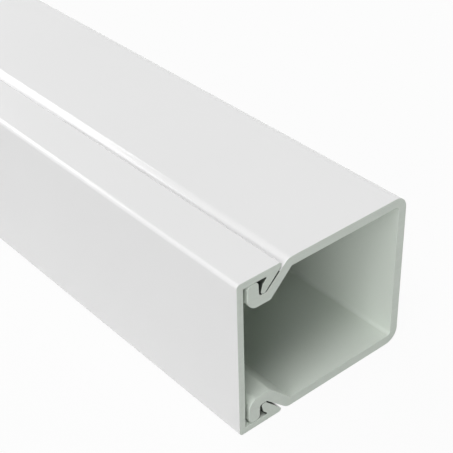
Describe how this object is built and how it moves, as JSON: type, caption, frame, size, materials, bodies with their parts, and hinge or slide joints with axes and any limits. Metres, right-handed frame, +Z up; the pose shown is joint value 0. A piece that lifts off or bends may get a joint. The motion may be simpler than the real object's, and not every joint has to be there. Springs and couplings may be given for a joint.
{
  "type": "cord cover raceway",
  "caption": "Straight length of white plastic cable trunking: a U-shaped wall base with hooked sides, closed by a flat clip-in cover that hides cords.",
  "frame": {"origin": "middle of the bar's length and depth, on the floor that its side lies on", "axes": "+X along the bar, +Y from the cover towards the wall, +Z up from the side that it lies on"},
  "size_m": [1, 0.03, 0.025],
  "materials": {
    "base_pvc": "satin white rigid PVC, extruded",
    "cover_pvc": "satin white rigid PVC, extruded"
  },
  "bodies": {
    "root": {"trunking_base": "base_pvc", "snap_cover": "cover_pvc"}
  },
  "joints": []
}
